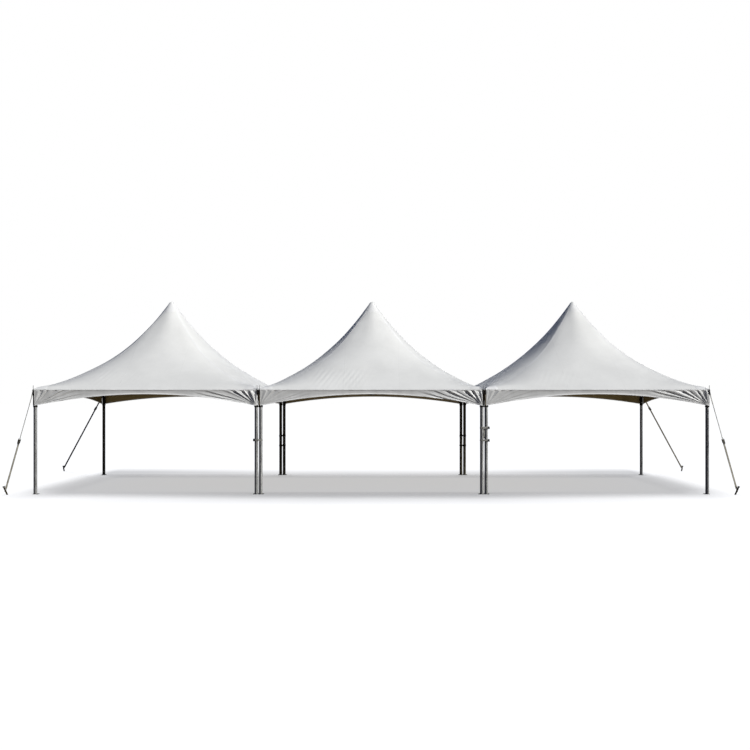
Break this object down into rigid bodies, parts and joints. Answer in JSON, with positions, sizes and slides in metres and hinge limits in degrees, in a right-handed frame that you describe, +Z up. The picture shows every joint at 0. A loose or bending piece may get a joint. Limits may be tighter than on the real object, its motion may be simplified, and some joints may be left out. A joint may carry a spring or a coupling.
{
  "type": "marquee tent",
  "caption": "Frame marquee of joined square bays: peaked white vinyl tops with arched valances on tube legs, tied down by webbing straps to stakes.",
  "frame": {"origin": "on the ground, in the middle of the row and halfway between the front stakes and the rear ones: 0.67 m behind the bays' centre line", "axes": "+X along the row of bays, to the right seen from the front; +Y to the rear; +Z up"},
  "size_m": [22.1542, 7.7745, 5.55],
  "materials": {
    "vinyl": "smooth coated white vinyl, satin",
    "tube": "mill-finish tube, scuffed",
    "fitting": "dark galvanised corner fittings and rails",
    "mast": "mill-finish tube",
    "webbing": "woven polyester webbing",
    "ratchet": "zinc-plated pressed steel",
    "stake": "rusted forged bar"
  },
  "bodies": {
    "root": {"canopy_left": "vinyl", "eave_frame_left": "fitting", "king_pole_left": "mast", "leg_left_front_left": "tube", "leg_left_front_right": "tube", "leg_left_rear_left": "tube", "leg_left_rear_right": "tube", "canopy_centre": "vinyl", "eave_frame_centre": "fitting", "king_pole_centre": "mast", "leg_centre_front_left": "tube", "leg_centre_front_right": "tube", "leg_centre_rear_left": "tube", "leg_centre_rear_right": "tube", "canopy_right": "vinyl", "eave_frame_right": "fitting", "king_pole_right": "mast", "leg_right_front_left": "tube", "leg_right_front_right": "tube", "leg_right_rear_left": "tube", "leg_right_rear_right": "tube", "guy_strap_upper_front_left": "webbing", "guy_strap_lower_front_left": "webbing", "guy_ratchet_front_left": "ratchet", "stake_front_left": "stake", "guy_strap_upper_front_right": "webbing", "guy_strap_lower_front_right": "webbing", "guy_ratchet_front_right": "ratchet", "stake_front_right": "stake", "guy_strap_upper_rear_left": "webbing", "guy_strap_lower_rear_left": "webbing", "guy_ratchet_rear_left": "ratchet", "stake_rear_left": "stake", "guy_strap_upper_rear_right": "webbing", "guy_strap_lower_rear_right": "webbing", "guy_ratchet_rear_right": "ratchet", "stake_rear_right": "stake", "leg_band_front_left": "webbing", "leg_band_front_right": "webbing", "leg_band_front_right_upper": "webbing", "leg_band_rear_left": "webbing", "leg_band_rear_left_lower": "webbing", "leg_band_rear_right": "webbing", "leg_band_rear_right_lower": "webbing", "leg_ratchet_front_left": "ratchet", "leg_ratchet_front_right": "ratchet", "leg_ratchet_front_right_upper": "ratchet"}
  },
  "joints": []
}
